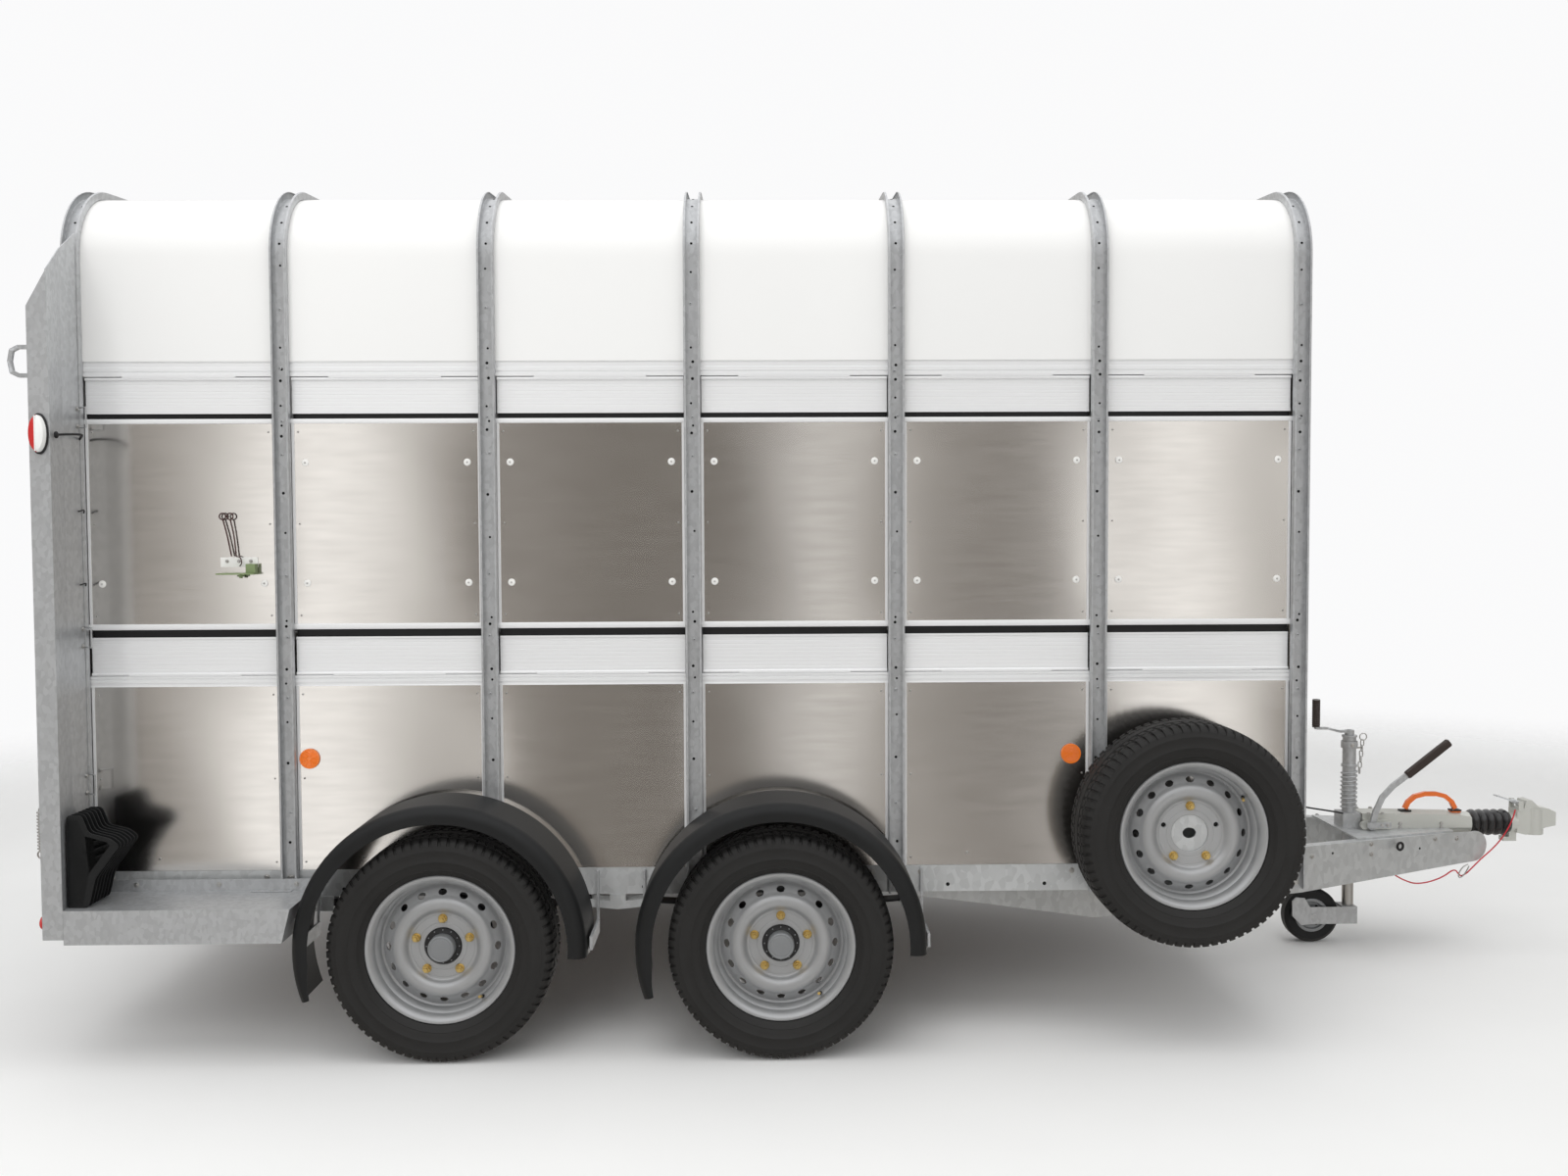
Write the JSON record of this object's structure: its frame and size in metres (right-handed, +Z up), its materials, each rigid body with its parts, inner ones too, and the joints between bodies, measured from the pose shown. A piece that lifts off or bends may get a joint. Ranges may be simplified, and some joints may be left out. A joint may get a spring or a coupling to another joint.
{
  "type": "livestock trailer",
  "caption": "Enclosed livestock trailer: ribbed sheet body, hinged vent flaps, tail ramp, tandem axles, spare wheel and a braked drawbar with jockey wheel.",
  "frame": {"origin": "on the ground, under the middle of the trailer's outline", "axes": "+X forwards to the coupling, +Y to the trailer's left, +Z up"},
  "size_m": [5.212, 2.404, 2.655],
  "materials": {
    "galvanised": "spangled galvanised",
    "floor": "aluminium tread sheet on board",
    "running_gear": "black paint",
    "guard_plastic": "moulded black",
    "panel_aluminium": "bare rolled",
    "extrusion": "satin anodised",
    "roof_plastic": "translucent white",
    "lamp_red": "lens",
    "lamp_amber": "lens",
    "white_plastic": "moulded",
    "wheel_silver": "silver paint",
    "tyre": "road tyre",
    "coupling_cream": "cream zinc",
    "orange_plastic": "moulded",
    "bright_steel": "zinc",
    "red_cable": "sheathed",
    "yellow_zinc": "yellow zinc",
    "ramp_aluminium": "bare",
    "ramp_board": "phenolic board",
    "jockey_rubber": "solid tyre",
    "bellows_rubber": "glossy",
    "hub": "dark"
  },
  "bodies": {
    "trailer": {"chassis_frame": "galvanised", "floor_deck": "floor", "axle_beams": "running_gear", "leaf_springs": "running_gear", "spring_hangers": "galvanised", "mudguards": "guard_plastic", "mudguard_stays": "galvanised", "hoops": "galvanised", "lower_panels": "panel_aluminium", "upper_panels": "panel_aluminium", "vent_rails": "extrusion", "roof_sheet": "roof_plastic", "front_wall": "panel_aluminium", "rear_wings": "galvanised", "light_shelves": "galvanised", "tail_lamps": "lamp_red", "side_lamps": "lamp_amber", "panel_buttons": "white_plastic", "pin_bracket": "galvanised", "spare_carrier": "galvanised", "spare_rim": "wheel_silver", "spare_tyre": "tyre", "drawbar": "galvanised", "coupling_housing": "coupling_cream", "grab_handle": "orange_plastic", "jockey_tube": "galvanised", "jockey_chain": "bright_steel", "breakaway_cable": "red_cable", "fixed_hinges": "galvanised", "ramp_springs": "yellow_zinc", "bellows": "bellows_rubber"},
    "wheel_rear_right": {"tyre_rear_right": "tyre", "rim_rear_right": "wheel_silver", "hub_rear_right": "hub"},
    "wheel_rear_left": {"tyre_rear_left": "tyre", "rim_rear_left": "wheel_silver", "hub_rear_left": "hub"},
    "wheel_front_right": {"tyre_front_right": "tyre", "rim_front_right": "wheel_silver", "hub_front_right": "hub"},
    "wheel_front_left": {"tyre_front_left": "tyre", "rim_front_left": "wheel_silver", "hub_front_left": "hub"},
    "upper_vents_right": {"upper_flaps_right": "extrusion"},
    "upper_vents_left": {"upper_flaps_left": "extrusion"},
    "lower_vents_right": {"lower_flaps_right": "extrusion"},
    "lower_vents_left": {"lower_flaps_left": "extrusion"},
    "ramp": {"ramp_frame": "ramp_aluminium", "ramp_deck": "ramp_board"},
    "latch_right": {"ramp_latch_right": "galvanised"},
    "latch_left": {"ramp_latch_left": "galvanised"},
    "partition": {"partition_gate": "panel_aluminium"},
    "door": {"front_door": "panel_aluminium"},
    "jockey_leg": {"jockey_stem": "galvanised"},
    "jockey_caster": {"jockey_fork": "galvanised"},
    "jockey_roller": {"jockey_wheel": "jockey_rubber"},
    "crank": {"jockey_crank": "galvanised"},
    "coupling": {"coupling_head": "coupling_cream"},
    "coupling_handle": {"coupling_lever": "bright_steel"},
    "handbrake": {"handbrake_lever": "galvanised"}
  },
  "joints": [
    {"name": "wheel_spin_rear_right", "type": "hinge", "parent": "trailer", "child": "wheel_rear_right", "pos_m": [-1.32, -1.062, 0.334], "axis": [0, 1, 0], "continuous": true},
    {"name": "wheel_spin_rear_left", "type": "hinge", "parent": "trailer", "child": "wheel_rear_left", "pos_m": [-1.32, 1.062, 0.334], "axis": [0, 1, 0], "continuous": true},
    {"name": "wheel_spin_front_right", "type": "hinge", "parent": "trailer", "child": "wheel_front_right", "pos_m": [-0.32, -1.062, 0.334], "axis": [0, 1, 0], "continuous": true},
    {"name": "wheel_spin_front_left", "type": "hinge", "parent": "trailer", "child": "wheel_front_left", "pos_m": [-0.32, 1.062, 0.334], "axis": [0, 1, 0], "continuous": true},
    {"name": "upper_vents_right_hinge", "type": "hinge", "parent": "trailer", "child": "upper_vents_right", "pos_m": [-0.58, -0.9155, 2.023], "axis": [-1, 0, 0], "range_deg": [0, 85]},
    {"name": "lower_vents_right_hinge", "type": "hinge", "parent": "trailer", "child": "lower_vents_right", "pos_m": [-0.58, -0.9155, 1.128], "axis": [1, 0, 0], "range_deg": [0, 85]},
    {"name": "upper_vents_left_hinge", "type": "hinge", "parent": "trailer", "child": "upper_vents_left", "pos_m": [-0.58, 0.9155, 2.023], "axis": [1, 0, 0], "range_deg": [0, 85]},
    {"name": "lower_vents_left_hinge", "type": "hinge", "parent": "trailer", "child": "lower_vents_left", "pos_m": [-0.58, 0.9155, 1.128], "axis": [-1, 0, 0], "range_deg": [0, 85]},
    {"name": "ramp_hinge", "type": "hinge", "parent": "trailer", "child": "ramp", "pos_m": [-2.526, 0, 0.498], "axis": [0, -1, 0], "range_deg": [0, 105]},
    {"name": "ramp_latch_right_turn", "type": "hinge", "parent": "trailer", "child": "latch_right", "pos_m": [-2.528, -0.985, 2.07], "axis": [-1, 0, 0], "range_deg": [0, 90]},
    {"name": "ramp_latch_left_turn", "type": "hinge", "parent": "trailer", "child": "latch_left", "pos_m": [-2.528, 0.985, 2.07], "axis": [1, 0, 0], "range_deg": [0, 90]},
    {"name": "partition_hinge", "type": "hinge", "parent": "trailer", "child": "partition", "pos_m": [-0.58, 0.88, 1.14], "axis": [0, 0, 1], "range_deg": [0, 90]},
    {"name": "front_door_hinge", "type": "hinge", "parent": "trailer", "child": "door", "pos_m": [1.306, -0.852, 1.14], "axis": [0, 0, -1], "range_deg": [0, 110]},
    {"name": "jockey_crank_turn", "type": "hinge", "parent": "trailer", "child": "crank", "pos_m": [1.835, 0, 0.79], "axis": [0, 0, 1], "range_deg": [0, 7200]},
    {"name": "jockey_screw", "type": "slide", "parent": "trailer", "child": "jockey_leg", "axis": [0, 0, -1], "range_m": [0, 0.2]},
    {"name": "jockey_swivel", "type": "hinge", "parent": "jockey_leg", "child": "jockey_caster", "pos_m": [1.835, 0, 0.137], "axis": [0, 0, 1], "continuous": true},
    {"name": "jockey_wheel_spin", "type": "hinge", "parent": "jockey_caster", "child": "jockey_roller", "pos_m": [1.691, 0, 0.102], "axis": [0, 1, 0], "continuous": true},
    {"name": "overrun_slide", "type": "slide", "parent": "trailer", "child": "coupling", "axis": [-1, 0, 0], "range_m": [0, 0.09], "stiffness_N_per_m": 2500, "springref_m": -0.02, "deforming": ["bellows"]},
    {"name": "coupling_handle_lift", "type": "hinge", "parent": "coupling", "child": "coupling_handle", "pos_m": [2.472, 0, 0.52], "axis": [0, 1, 0], "range_deg": [0, 55], "stiffness_Nm_per_rad": 0.6, "springref_deg": -28.65},
    {"name": "handbrake_pull", "type": "hinge", "parent": "trailer", "child": "handbrake", "pos_m": [1.888, -0.082, 0.45], "axis": [0, -1, 0], "range_deg": [0, 30]}
  ],
  "couplings": [
    {"joint": "jockey_screw", "follows": "jockey_crank_turn", "m_per_rad": 0.00159}
  ]
}
